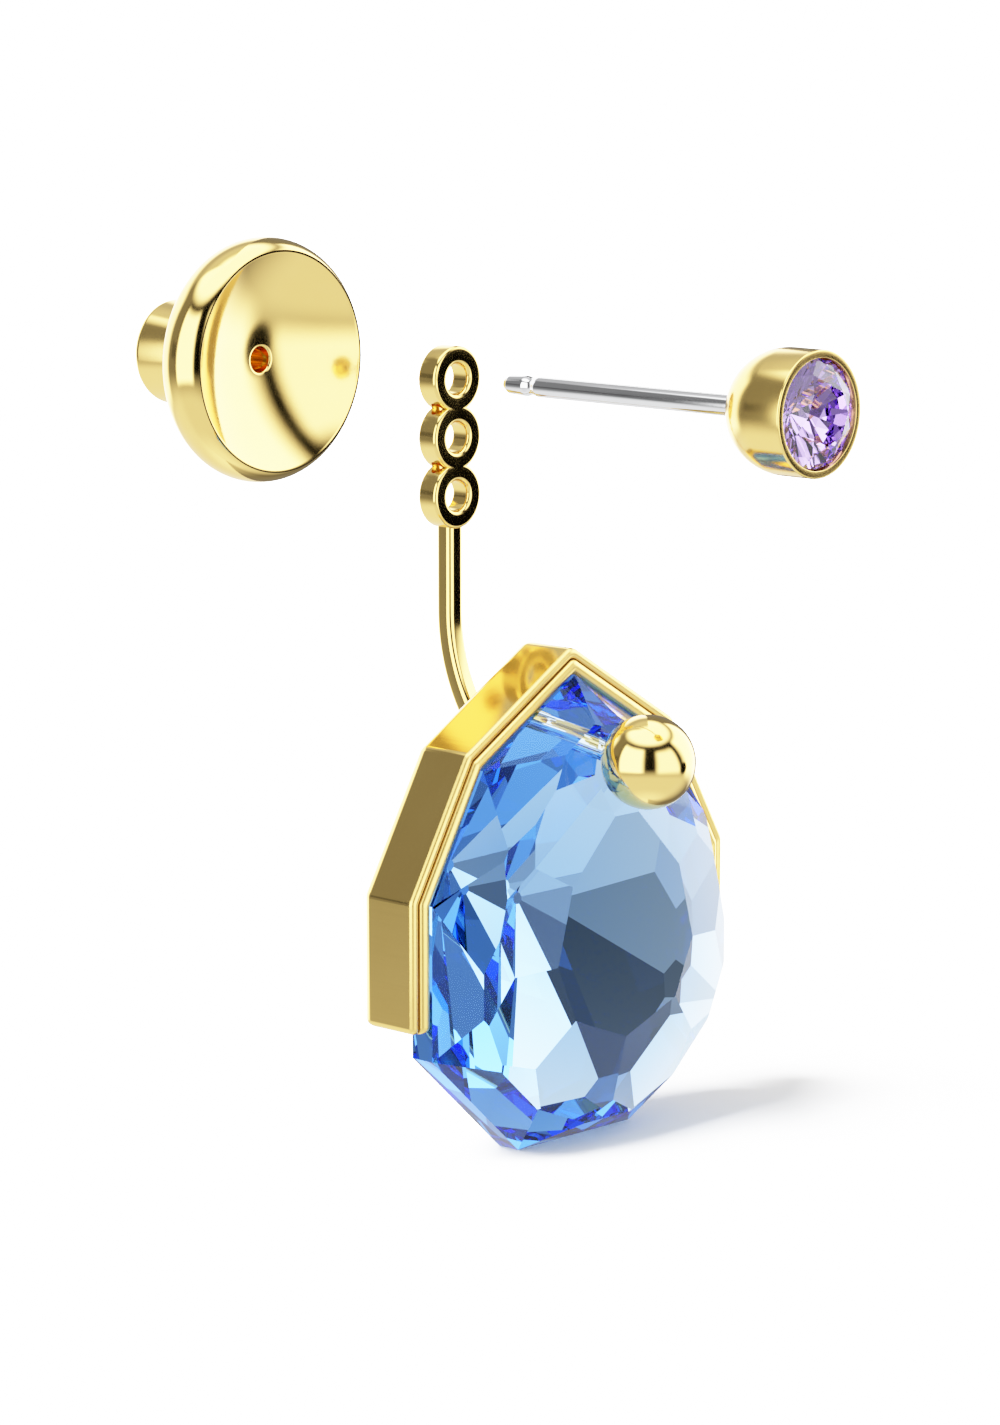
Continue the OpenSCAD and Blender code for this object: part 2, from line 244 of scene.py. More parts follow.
def metal(name, light, dark, rough, ripple, scratch, along):
    """Colour = mix of light and dark by a cloudy noise; roughness = a narrow range by the same
    noise; the surface is tilted by a coarse ripple plus thin scratches, drawn out where along
    is small."""
    mat, tree, shader = fresh(name)
    new = tree.nodes.new
    preset(shader, Metallic=1)
    at = new("ShaderNodeTexCoord").outputs["Object"]
    cloud = preset(new("ShaderNodeTexNoise"), Scale=420, Detail=5)
    tone = two_tone(tree, dark, light)
    span = preset(new("ShaderNodeMapRange"), From_Min=0.3, From_Max=0.7)
    preset(span, To_Min=rough[0], To_Max=rough[1])
    stretch = preset(new("ShaderNodeMapping"), Scale=along)
    hair = preset(new("ShaderNodeTexNoise"), Scale=5200, Detail=3)
    hair_bump = preset(new("ShaderNodeBump"), Strength=scratch, Distance=0.02 * MM)
    wave = preset(new("ShaderNodeTexNoise"), Scale=700)
    wave_bump = preset(new("ShaderNodeBump"), Strength=ripple, Distance=0.1 * MM)
    link_chain(
        tree, (at, cloud.inputs["Vector"]), (at, stretch.inputs["Vector"]),
        (at, wave.inputs["Vector"]), (stretch.outputs[0], hair.inputs["Vector"]),
        (cloud.outputs["Fac"], tone.inputs["Factor"]),
        (cloud.outputs["Fac"], span.inputs["Value"]),
        (tone.outputs["Result"], shader.inputs["Base Color"]),
        (span.outputs[0], shader.inputs["Roughness"]),
        (hair.outputs["Fac"], hair_bump.inputs["Height"]),
        (wave.outputs["Fac"], wave_bump.inputs["Height"]),
        (wave_bump.outputs[0], hair_bump.inputs["Normal"]),
        (hair_bump.outputs[0], shader.inputs["Normal"]))
    return mat


yellow = (1.0, 0.69, 0.21), (0.96, 0.64, 0.175)
lengthwise, all_ways = (1, 0.05, 1), (1, 1, 1)
gold = metal("polished_gold", *yellow, (0.07, 0.11), 0.008, 0.025, lengthwise)
soft = metal("soft_gold", *yellow, (0.13, 0.17), 0.01, 0.03, lengthwise)
worn = metal("worn_gold", *yellow, (0.27, 0.32), 0.01, 0.03, lengthwise)
satin = metal(
    "satin_gold", (0.85, 0.58, 0.18), (0.8, 0.53, 0.15), (0.14, 0.17), 0.01, 0.05, all_ways)
# A dark gold that is painted shade: it darkens the groove between the band's beads, where they
# hide light from each other.
groove_shade = metal(
    "painted_dark_groove", (0.34, 0.2, 0.06), (0.26, 0.15, 0.04), (0.3, 0.4), 0.01, 0.03, all_ways)
steel = metal(
    "polished_steel", (0.8, 0.8, 0.81), (0.68, 0.69, 0.71), (0.05, 0.1), 0.02, 0.22,
    (1, 0.03, 1))
foil = metal(
    "silver_foil", (0.93, 0.9, 0.96), (0.86, 0.82, 0.9), (0.0, 0.02), 0.0, 0.0, all_ways)
print("metals:", [mat.name for mat in (gold, soft, worn, satin, groove_shade, steel, foil)])

# %% [markdown]
# Glass is finished in two ways at once: its skin bends and mirrors light, and
# its body swallows red first, so that long paths through the stone look deep
# blue and short ones pale. The swallowing is a volume of one even colour,
# which is right for clear cut glass. The skin has the faintest haze.

# %% Glass


def glass(name, skin, skin_dark, mirror, body, density, ior):
    """Light that has gone a length s keeps the part exp(-density (1 - colour) s) of each
    colour. The skin's tint changes slowly over the stone, by a soft noise; mirror is how
    much of each colour a facet seen straight on still reflects, times the usual."""
    mat, tree, shader = fresh(name)
    preset(shader, Transmission_Weight=1, IOR=ior, Specular_Tint=(*mirror, 1))
    new = tree.nodes.new
    at = new("ShaderNodeTexCoord").outputs["Object"]
    cloud = preset(new("ShaderNodeTexNoise"), Scale=160)
    tone = two_tone(tree, skin_dark, skin)
    haze = preset(new("ShaderNodeMapRange"), To_Min=0.0, To_Max=0.012)
    depth = preset(new("ShaderNodeVolumeAbsorption"), Color=(*body, 1), Density=density)
    link_chain(
        tree, (at, cloud.inputs["Vector"]), (cloud.outputs["Fac"], tone.inputs["Factor"]),
        (cloud.outputs["Fac"], haze.inputs["Value"]),
        (tone.outputs["Result"], shader.inputs["Base Color"]),
        (haze.outputs[0], shader.inputs["Roughness"]),
        (depth.outputs[0], tree.nodes["Material Output"].inputs["Volume"]))
    return mat


blue = glass(
    "blue_cut_glass", (0.98, 0.99, 1.0), (0.94, 0.97, 1.0), (0.15, 0.3, 0.7),
    (0.035, 0.505, 0.976), 138, 1.56)
violet = glass(
    "violet_cut_glass", (0.98, 0.95, 1.0), (0.93, 0.88, 1.0), (1, 1, 1),
    (0.54, 0.25, 0.96), 195, 1.6)
print("glasses:", blue.name, violet.name)

# %% [markdown]
# Every finished piece goes through the same last step: its points become
# metres, its shading is smooth but stays crisp where two faces meet at a
# clear angle, it gets its finish, and it is told which part it rides on.

# %% The last step of every piece


def settle(piece, mat, body, nodes, crisp=32, flat=False):
    """Metres are millimetres times 0.001; edges turned by more than crisp degrees stay sharp."""
    piece.data.transform(Matrix.Scale(MM, 4))
    if not flat:
        piece.data.shade_smooth()
        piece.data.set_sharp_from_angle(angle=deg(crisp))
        even = piece.modifiers.new("even_normals", "WEIGHTED_NORMAL")
        even.keep_sharp, even.weight = True, 90
    piece.data.materials.clear()
    piece.data.materials.append(mat)
    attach(piece, body)
    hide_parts(*nodes)
    print(piece.name, len(piece.data.vertices), "points,", len(piece.data.polygons), "faces")


# %% [markdown]
# Some pieces carry a second finish: beads that are less polished than the
# wall behind them, a satin rim, a foil behind a stone, and painted shade in a
# groove. Cutting the piece in two would leave a seam, so the finish is given to some of its
# faces instead.

# %% A second finish for some faces


def between(piece, y_from, y_to):
    """Yes for each face whose middle lies between two places along Y, in millimetres."""
    middles = np.zeros(3 * len(piece.data.polygons))
    piece.data.polygons.foreach_get("center", middles)
    y = middles.reshape(-1, 3)[:, 1] / MM
    return (y > y_from) & (y < y_to)


def paint(piece, mat, chosen):
    """Adds a finish to the piece and gives it to the faces that are chosen by a yes."""
    marks = np.zeros(len(piece.data.polygons), int)
    piece.data.polygons.foreach_get("material_index", marks)
    marks[chosen] = len(piece.data.materials)
    piece.data.materials.append(mat)
    piece.data.polygons.foreach_set("material_index", marks)
    print(piece.name, "has", int(chosen.sum()), "faces of", mat.name)


# %% [markdown]
# The three rings are cast as one bar with the stem. Each ring is a turned
# washer with an eased bore, and neighbours overlap a little. Drawing the
# joined outline by hand would be possible, but joining three washers keeps
# every eased edge.

# %% Rings
bore_ease, rim_ease = 0.17, 0.13
washer = eased(
    [(bore_r, 0), (ring_r, 0), (ring_r, ring_t), (bore_r, ring_t)],
    [bore_ease, rim_ease, rim_ease, bore_ease], closed=True, steps=9)
rings = turned("hanger_piece", washer, (0, 0), 144, True)
for k in (1, 2):
    combine(rings, turned("ring", washer, (0, -k * ring_pitch), 144, True), "UNION")
meet = math.sqrt(ring_r ** 2 - ring_pitch ** 2 / 4)
print("rings meet at", round(meet, 3), "mm beside the middle")

# %% [markdown]
# The stem starts as a rounded square, bends forward in a long and then a
# tight arc, and becomes a round pin. That is one section carried along a
# path, with corners that grow rounder on the way: a sweep, not three parts.

# %% Path of the stem and the pin
stem_top = -5.7


def stem_path():
    """Angle phi grows from 0 to the bend on the long arc, then to 90 degrees on the tight
    one; a point of an arc is its middle plus the radius times (cos phi, -sin phi)."""
    z = np.linspace(stem_top, -bend_drop, 20)[:-1]
    straight = np.stack([0 * z + stem_y, z, 0 * z], -1)

    def bow(mid, radius, phi):
        return np.stack([mid[0] + radius * np.cos(phi), mid[1] - radius * np.sin(phi), phi], -1)

    long = bow((stem_y - bend_r, -bend_drop), bend_r, np.linspace(0, bend, 40))
    tight_mid = long[-1, :2] - elbow_r * np.array([np.cos(bend), -np.sin(bend)])
    tight = bow(tight_mid, elbow_r, np.linspace(bend, np.pi / 2, 24)[1:])
    y = np.linspace(tight[-1, 0], pin_end, 34)[1:]
    pin = np.stack([y, 0 * y - pin_drop, 0 * y + np.pi / 2], -1)
    return np.concatenate([straight, long, tight, pin])


path = stem_path()
size = len(path)
run = np.concatenate([[0], np.cumsum(np.linalg.norm(np.diff(path[:, :2], axis=0), axis=1))])
print("stem and pin:", round(run[-1], 2), "mm long")

# %% Stem and pin
square_ease, turning_from, turning_long, end_share = 0.22, 6.6, 1.2, 0.86


def soft_square(half, corner, steps=10):
    """A square with arcs for corners: each arc is its corner's middle plus corner times
    (cos a, sin a); where corner equals half, it is a circle."""
    a = np.radians(np.linspace(0, 90, steps + 1)[None] + 90 * np.arange(4)[:, None]).ravel()
    sign = np.repeat([[1, 1], [-1, 1], [-1, -1], [1, -1]], steps + 1, axis=0)
    return sign * (half - corner)[..., None, None] + corner[..., None, None] * np.stack(
        [np.cos(a), np.sin(a)], -1)


blend = np.clip((run - run[-1] + turning_from) / turning_long, 0, 1)
corner = square_ease + (pin_r - square_ease) * blend * blend * (3 - 2 * blend)
section = soft_square(np.full(size, stem_w / 2), corner)
section *= np.where(np.arange(size) == size - 1, end_share, 1)[:, None, None]
out_y, out_z = np.cos(path[:, 2])[:, None], -np.sin(path[:, 2])[:, None]
points = np.stack([
    section[..., 0], path[:, 0][:, None] + section[..., 1] * out_y,
    path[:, 1][:, None] + section[..., 1] * out_z], -1)
stem = solid("stem", points, tube_faces(size, section.shape[1]))
combine(rings, stem, "UNION")

# %% [markdown]
# Where two round rings meet, a sharp crack is left at each side. A small
# blind hole, drilled in from the side, eases it. The drill is turned like
# every other tool here, round the Y axis, and then laid along X.

# %% Small drilled holes at both sides, where two rings meet
notch_r, notch_y, notch_ease = 0.22, 0.52, 0.05
bottom, shoulder, outside = meet - 0.4, meet - 0.25, meet + 1


def spots_of(piece):
    """The places of the piece's points, one row of x, y, z each."""
    spots = np.zeros(3 * len(piece.data.vertices))
    piece.data.vertices.foreach_get("co", spots)
    return spots.reshape(-1, 3)


def lay_along_x(piece, to, middle):
    """(x, y, z) becomes (to y, -to x, z) plus the middle, so that the axis lies along X."""
    x, y, z = spots_of(piece).T
    spots = np.stack([to * y, -to * x, z], -1) + np.array(middle)
    piece.data.vertices.foreach_set("co", spots.ravel())
    return piece


drill_line = eased(
    [(0, bottom), (notch_r, shoulder), (notch_r, outside), (0, outside)], [0, notch_ease, 0, 0])
for k in (0, 1):
    for to in (-1, 1):
        drill = turned("drill", drill_line, (0, 0), 48)
        at_crack = (0, notch_y, -(k + 0.5) * ring_pitch)
        combine(rings, lay_along_x(drill, to, at_crack), "DIFFERENCE")
settle(rings, gold, "jacket", ["hanger"])

# %% [markdown]
# The band is a folded strip of gold round the top and sides of the stone,
# with two rounded beads along its front edge and a fine groove between them.
# Its section is drawn first: two bead circles that meet in the groove, then
# the plain wall with a round back edge.

# %% The band's section
band_depth, band_back_ease, band_inner_ease = 2.65, 0.6, 0.12
bead_steps = 14


def band_section():
    """Points (a, b): a is the distance from the stone outward, b the distance in front of the
    plain wall's front. Two bead circles meet in the groove between them."""
    outer, inner, lift = 0.2, 0.27, 0.06
    big, small = np.array([inner, lift]), np.array([band_wall - outer, 0.0])
    way = small - big
    reach = np.linalg.norm(way)
    near = (reach ** 2 + inner ** 2 - outer ** 2) / (2 * reach)
    down = math.sqrt(inner ** 2 - near ** 2)
    dip = big + way / reach * near + np.array([-way[1], way[0]]) / reach * down
    dip_big = math.degrees(math.atan2(*(dip - big)[::-1]))
    dip_small = math.degrees(math.atan2(*(dip - small)[::-1]))
    beads = np.concatenate([
        arc(big, inner, 180, dip_big, bead_steps),
        arc(small, outer, dip_small, 0, bead_steps)[1:]])
    back = eased(
        [(band_wall, 0), (band_wall, -band_depth), (0, -band_depth), (0, lift)],
        [0, band_back_ease, band_inner_ease, 0], steps=10)[1:-1]
    return np.concatenate([beads, back])


outline = band_section()
print("section of the band:", len(outline), "points")

# %% [markdown]
# The section is carried along the outline of the stone. At every fold the
# outer lines run round a small arc and the inner ones stay close to the
# stone, so each line of the section gets its own arc at the fold.

# %% Carry it round the stone
end_ease = 0.28


def sides_out():
    """The outward direction of each side of the stone: its run (x, z) turned to (-z, x)."""
    on = np.roll(side, -1, 0) - side
    return np.stack([-on[:, 1], on[:, 0]], -1) / np.linalg.norm(on, axis=1)[:, None]


def round_path(distance, steps=8):
    """The stone's outline moved outward by the distance, from the left end over the top
    to the right end. Each corner is the meeting point of two moved sides, eased by an arc
    whose radius grows from almost nothing at the stone to half a millimetre outside."""
    x, out = stone_half + distance, sides_out()
    way = np.roll(out, 1, 0) + out
    corners = side + way * (distance / (way * out).sum(1))[:, None]
    line = np.concatenate([[[-x, -band_end]], corners[1:6], [[x, -band_end]]])
    radius = 0.05 + 0.5 * np.clip(distance / band_wall, 0, 1)
    return eased(line, [0, *[radius] * 5, 0], steps=steps)


def end_rows(steps=6):
    """Rows that round a lower end: at the angle t the row is the ease times (1 - cos t) above
    the end, and each point is drawn towards the section's middle by the ease times
    (1 - sin t)."""
    t = np.linspace(0, np.pi / 2, steps + 1)[:-1, None]
    mid = (outline.max(0) + outline.min(0)) / 2
    half = (outline.max(0) - outline.min(0)) / 2
    drawn = mid + (outline - mid) * (1 - end_ease * (1 - np.sin(t))[..., None] / half)
    a, b = np.moveaxis(drawn, -1, 0)
    z = stone_z - band_end + end_ease * (1 - np.cos(t)) + 0 * a
    return np.stack([stone_half + gap + a, band_y - b, z], -1)


lines = np.stack([round_path(gap + a) for a in outline[:, 0]], 1)
lines[[0, -1], :, 1] += end_ease
around = np.stack([
    lines[..., 0], band_y - outline[:, 1][None] + 0 * lines[..., 0],
    stone_z + lines[..., 1]], -1)
right_end = end_rows()
points = np.concatenate([right_end * (-1, 1, 1), around, right_end[::-1]])
rows, count = points.shape[:2]
band = solid("bezel_piece", points, tube_faces(rows, count))
settle(band, gold, "jacket", ["bezel_band"], crisp=38)
paint(band, worn, between(band, band_y - 1, band_y + 0.01))
print("band:", rows, "rows of", count, "points")

# %% [markdown]
# The bottom of the groove between the two beads is painted dark: painted
# shade for the light that the two beads keep from it. This thin dark line is
# what makes two beads of one. The faces lie in the order of the grid, so the
# line can be picked by the place of its faces in the section.

# %% Painted shade in the groove
number = np.arange(len(band.data.polygons))
from_groove = number % count - bead_steps
shaded_groove_faces = (from_groove >= -2) & (from_groove < 2) & (number < rows * count - count)
# The groove's faces get the dark gold: painted shade.
paint(band, groove_shade, shaded_groove_faces)

# %% [markdown]
# A cut stone is what is left of a block after many flat cuts. So the stone is
# given as a list of planes, each with its outward direction, and its corners
# are the points where three planes meet that lie behind all the others.
# Building it from faces by hand would be slow and never quite flat.

# %% The cuts of the blue stone
front, back, tall, deep = -6.27, -5.22, 2.75, 5.0
main_step, star_step, back_step, culet = 1.75, 2.42, 2.1, 0.1
main_slope, corner_slope, upper_slope, star_slope = 60, 47, 24, 15
back_slope, back_corner_slope = 48, 41


def cuts():
    """One plane per row: outward direction (cos lean cos turn, -sin lean, cos lean sin turn)
    and its distance, direction times a point on it."""
    planes = []

    def cut(x, y, z, turn_xz, lean):
        n = np.array([
            math.cos(lean) * math.cos(turn_xz), -math.sin(lean),
            math.cos(lean) * math.sin(turn_xz)])
        planes.append((*n, n @ (x, y, stone_z + z)))

    cut(0, front - tall, 0, 0, deg(90))
    cut(0, back + deep - culet, 0, 0, deg(-90))
    on, out = np.roll(side, -1, 0) - side, sides_out()
    for a, s, so, before in zip(side, side + on / 2, out, np.roll(out, 1, 0)):
        co = (so + before) / np.linalg.norm(so + before)
        ts, tc = math.atan2(so[1], so[0]), math.atan2(co[1], co[0])
        cut(s[0], 0, s[1], ts, 0)
        cut(s[0], front, s[1], ts, deg(90 - main_slope))
        cut(a[0], front, a[1], tc, deg(90 - corner_slope))
        inner = s - so * main_step / math.tan(deg(main_slope))
        cut(inner[0], front - main_step, inner[1], ts, deg(90 - upper_slope))
        star = a - co * 0.42 * np.linalg.norm(a)
        cut(star[0], front - star_step, star[1], tc, deg(90 - star_slope))
        cut(s[0], back, s[1], ts, deg(back_slope - 90))
        cut(a[0], back, a[1], tc, deg(back_corner_slope - 90))
        narrowed = s @ so - back_step / math.tan(deg(back_slope))
        slope = math.atan2(deep - back_step, narrowed)
        cut(0, back + deep, 0, ts, slope - deg(90))
        cut(0, back + deep, 0, tc, slope - deg(91.5))
    return np.array(planes)


planes = cuts()
print("blue stone:", len(planes), "cuts")

# %% From cuts to a stone


def corners_of(planes):
    """Solves all threes of planes at once and keeps the points that no plane cuts off."""
    n = len(planes)
    i, j, k = (v.ravel() for v in np.meshgrid(*[np.arange(n)] * 3, indexing="ij"))
    pick = (i < j) & (j < k)
    three = np.stack([i[pick], j[pick], k[pick]], -1)
    a, b = planes[three][..., :3], planes[three][..., 3]
    good = np.abs(np.linalg.det(a)) > 1e-6
    at = np.linalg.solve(a[good], b[good][..., None])[..., 0]
    inside = (at @ planes[:, :3].T <= planes[:, 3] + 1e-7).all(1)
    return np.unique(np.round(at[inside], 5), axis=0)


def stone_from(name, corners):
    """The smallest closed shape round the corners, with triangles of one plane made one face."""
    mesh = bpy.data.meshes.new(name)
    mesh.from_pydata(corners.tolist(), [], [])
    bm = bmesh.new()
    bm.from_mesh(mesh)
    bmesh.ops.convex_hull(bm, input=bm.verts)
    bmesh.ops.dissolve_limit(bm, angle_limit=deg(0.3), verts=bm.verts, edges=bm.edges)
    bmesh.ops.recalc_face_normals(bm, faces=bm.faces)
    bm.to_mesh(mesh)
    bm.free()
    return placed(name, mesh)


stone = stone_from("blue_stone", corners_of(planes))
print("blue stone:", len(stone.data.polygons), "facets")

# %% [markdown]
# The stone is drilled for the pin, and its table has a shallow round seat for
# the ball. Both are cut with turned tools, as a stone cutter's drill does.

# %% Drill the stone
ahead = -12
hole = np.array([(0, ahead), (pin_r + gap, ahead), (pin_r + gap, 0), (0, 0)])
combine(stone, turned("drill", hole, (0, -pin_drop), 64), "DIFFERENCE")
seat = arc((0, ball_y), ball_r + gap, -90, 90, 48)
combine(stone, turned("ball_mill", seat, (0, -pin_drop), 96), "DIFFERENCE")
settle(stone, blue, "jacket", ["blue_crystal"], flat=True)

# %% [markdown]
# The ball is a polished bead, half drilled and pushed on the pin. Its outline
# is half a circle that ends at the drilled hole and goes into it.

# %% Ball
lip = math.degrees(math.acos((pin_r + gap) / ball_r))
globe = np.concatenate([
    arc((0, ball_y), ball_r, -90, lip, 90),
    [(pin_r + gap, pin_end - gap), (0, pin_end - gap)]])
ball = turned("ball_piece", globe, (0, -pin_drop), 160)
settle(ball, gold, "jacket", ["ball"])

# %% [markdown]
# The stud's cup is turned from one piece: a flat rim, a straight wall and a
# round back with a hole for the post. Inside is a cone for the stone. The rim
# that holds the stone is left satin, as the tool that closes it leaves it.

# %% Cup of the stud
cup_y, cup_r, seat_r = -18.43, 2.38, 2.08
dome_y, seat_y = cup_y + 1.45, cup_y + 0.16
cone_r, cone_y = 0.2, seat_y + 1.85
post_end = dome_y + 0.72 * cup_r
hole_edge = math.degrees(math.acos((post_r + gap) / cup_r))
front_part = eased(
    [(0, cone_y), (cone_r, cone_y), (seat_r, seat_y + 0.25), (seat_r, cup_y),
     (cup_r, cup_y), (cup_r, dome_y)], [0, 0.02, 0.02, 0.03, 0.07, 0], steps=6)
cup = turned("cup_piece", np.concatenate([
    front_part, arc((0, dome_y), cup_r, 0, hole_edge, 60)[1:],
    [(post_r + gap, post_end - gap), (0, post_end - gap)]]), (0, 0), 176)
settle(cup, soft, "stud", ["stud_cup"])
paint(cup, satin, between(cup, cup_y - 1, cup_y + 0.004))

# %% [markdown]
# The violet stone is a round brilliant: a table, stars, kites and halves in
# front, and a pointed back. Rings of points at five heights, some of them
# turned by half a step, give all of its facets at once. Behind it lies a
# bright foil, which sends the light back through the stone.

# %% Violet stone
table_share, star_share, heel_share, half_step = 0.56, 0.8, 0.25, 22.5
crown_h, girdle_h, pavilion_h = 0.55, 0.1, 1.6


def ring_of(count, radius, y, turn_deg):
    """x is radius cos t and z is radius sin t, for count even steps t after the turn."""
    t = np.radians(turn_deg) + 2 * np.pi * np.arange(count) / count
    return np.stack([radius * np.cos(t), np.full(count, y), radius * np.sin(t)], -1)


round_r, girdle_y = seat_r - gap, seat_y + girdle_h
squeeze = math.cos(deg(half_step))
star_h = crown_h * (1 - star_share * squeeze) / (1 - table_share)
heel = pavilion_h * (1 - heel_share * squeeze)
gem = stone_from("violet_stone", np.concatenate([
    ring_of(8, table_share * round_r, seat_y - crown_h, 0),
    ring_of(8, star_share * round_r, seat_y - star_h, half_step),
    ring_of(16, round_r, seat_y, 0), ring_of(16, round_r, girdle_y, 0),
    ring_of(8, heel_share * round_r, girdle_y + heel, half_step),
    [[0, girdle_y + pavilion_h, 0]]]))
settle(gem, violet, "stud", ["stud_crystal"], flat=True)
paint(gem, foil, between(gem, girdle_y + 0.02, seat_y + 3))

# %% [markdown]
# The post is drawn steel wire with an eased tip and a shallow groove, in
# which the clutch snaps.

# %% Post
tip, dent_from, dent_long, dent_depth = -2.62, 1.84, 0.78, 0.07
part_way = np.linspace(0, 1, 25)
dent = np.stack([
    post_r - dent_depth / 2 * (1 - np.cos(2 * np.pi * part_way)),
    tip - dent_from + dent_long * part_way], -1)
shank = eased([(0, post_end), (post_r, post_end), (post_r, tip - 2)], [0, 0.03, 0], steps=5)
nose = eased(
    [(post_r - 0.005, tip - 0.95), (0.36, tip - 0.25), (0.23, tip), (0, tip)],
    [0, 0.1, 0.1, 0], steps=5)
post = turned("post_piece", np.concatenate([shank, dent, nose]), (0, 0), 96)
settle(post, steel, "stud", ["post"])

# %% [markdown]
# The clutch is one turned piece: a wide dished disc with a fat rolled rim, a
# waist, and a short neck with the bore that grips the post. The outline runs
# from the wide end of the bore over the dish and the rim to the neck's end.

# %% Clutch
base, dish_r, rim, rim_half = 9.99, 4.5, 0.95, 1.25
rim_mid = np.array([dish_r - 0.46 * rim, base + 0.888 * rim_half])
back_y = rim_mid[1] + rim_half
bowl_r, mouth_r, mouth_y = 8.6, 0.59, base + 1.25
bowl_mid = (0, mouth_y - math.sqrt(bowl_r ** 2 - mouth_r ** 2))
bowl_from, bowl_to = 86.06, math.degrees(math.acos((dish_r - 0.05) / bowl_r))
neck, waist, length, grip, lead = 2.22, 1.6, 6.65, 0.44, 0.53
dish = np.concatenate([
    [(lead, base + 2.55), (lead, mouth_y + 0.06), (0.56, mouth_y + 0.015)],
    arc(bowl_mid, bowl_r, bowl_from, bowl_to, 60),
    [(dish_r - 0.046, base + 0.0285), (dish_r + 0.03, base + 0.0275)]])
roll = rim_mid + arc((0, 0), 1, -60, 90, 80) * (rim, rim_half)
foot = eased(
    [(rim_mid[0], back_y), (waist + 0.5, back_y + 0.5), (waist, back_y + 1),
     (neck, base + length), (grip + 0.2, base + length), (grip, base + length - 0.2),
     (grip, base + 2.65)],
    [0, 0.3, 0.4, 0.3, 0.04, 0.03, 0], steps=8)[1:]
clutch = turned("clutch_piece", np.concatenate([dish, roll, foot]), (0, 0), 200, True)
settle(clutch, gold, "clutch", ["clutch"])

# %% [markdown]
# The floor is a wide white sheet with the faintest grain, just below the
# stone's lowest edge, so that it catches a soft shadow. Metal and glass don't
# see it: they mirror the studio that is painted on the sky, because a sheet
# this close would fill half of every mirror.

# %% Floor
reach, hover = 6, 0.02
floor_z = (stone_z + side[:, 1].min() - hover) * MM
sheet = bpy.data.meshes.new("floor")
sheet.from_pydata(
    [(-reach, -reach, floor_z), (reach, -reach, floor_z), (reach, reach, floor_z),
     (-reach, reach, floor_z)], [], [(0, 1, 2, 3)])
floor = placed("floor", sheet)
paper, tree, shader = fresh("white_paper")
preset(shader, Roughness=0.9, Specular_IOR_Level=0.1)
grain = preset(tree.nodes.new("ShaderNodeTexNoise"), Scale=900)
tone = preset(tree.nodes.new("ShaderNodeMapRange"), To_Min=0.9, To_Max=0.93)
at = tree.nodes.new("ShaderNodeTexCoord").outputs["Object"]
link_chain(
    tree, (at, grain.inputs["Vector"]), (grain.outputs["Fac"], tone.inputs["Value"]),
    (tone.outputs[0], shader.inputs["Base Color"]))
sheet.materials.append(paper)
floor.visible_glossy = floor.visible_transmission = False
print("floor at", round(floor_z / MM, 2), "mm")

# %% [markdown]
# The studio is painted on the sky: a big light overhead, three soft panels at
# the height of the earring, narrow black gaps between them and a paler floor
# below. Real lamps would do the same with more noise. The gaps matter most,
# because a polished piece without something dark to mirror looks flat. A
# place on the sky has two angles: height above the horizon, and round_it,
# which is 0 towards the camera, 90 at its right and 180 behind the earring.

# %% Places on the sky
world = bpy.data.worlds.new("studio")
bpy.context.scene.world = world
world.use_nodes = True
sky = world.node_tree
way = sky.nodes.new("ShaderNodeTexCoord").outputs["Generated"]
to_right, to_camera = (0.6894, -0.7244, 0), (-0.7244, -0.6894, 0)


def figure(kind, a, b):
    """One step of arithmetic on two values, each a socket or a number."""
    node = sky.nodes.new("ShaderNodeMath")
    node.operation = kind
    for value, into in ((a, node.inputs[0]), (b, node.inputs[1])):
        if isinstance(value, (int, float)):
            into.default_value = value
        else:
            sky.links.new(value, into)
    return node.outputs[0]


def gather(kind, values):
    """All values brought together by one kind of arithmetic, from the first to the last."""
    total = values[0]
    for value in values[1:]:
        total = figure(kind, total, value)
    return total


def along(direction):
    """How far the view points along a direction: the sum of the three products."""
    node = sky.nodes.new("ShaderNodeVectorMath")
    node.operation = "DOT_PRODUCT"
    node.inputs[1].default_value = direction
    sky.links.new(way, node.inputs[0])
    return node.outputs["Value"]


def smooth(value, start, stop, from_height, to_height):
    """A smooth step between two heights while the value goes from start to stop."""
    node = sky.nodes.new("ShaderNodeMapRange")
    node.interpolation_type = "SMOOTHSTEP"
    preset(node, From_Min=start, From_Max=stop, To_Min=from_height, To_Max=to_height)
    sky.links.new(value, node.inputs["Value"])
    return node.outputs[0]


def rise(value, start, stop):
    """A smooth step from 0 to 1 between two angles in degrees, or down if start is larger."""
    return smooth(
        value, deg(min(start, stop)), deg(max(start, stop)),
        float(start > stop), float(start < stop))


def panel(glow, *edges):
    """The glow times all of the edges' smooth steps."""
    return gather("MULTIPLY", [glow, *edges])


height = figure("ARCSINE", along((0, 0, 1)), 0)
round_it = figure("ARCTAN2", along(to_right), along(to_camera))
slant = figure("ADD", round_it, figure("MULTIPLY", height, 0.33))
print("sky: 0 degrees lies towards", to_camera, "and 90 towards", to_right)

# %% [markdown]
# Each panel is a glow times smooth steps at its edges: two in round_it, two in
# height. Slant edges lean like the side of a soft box that stands tilted. One
# small round black card at the right darkens what the dish mirrors there.

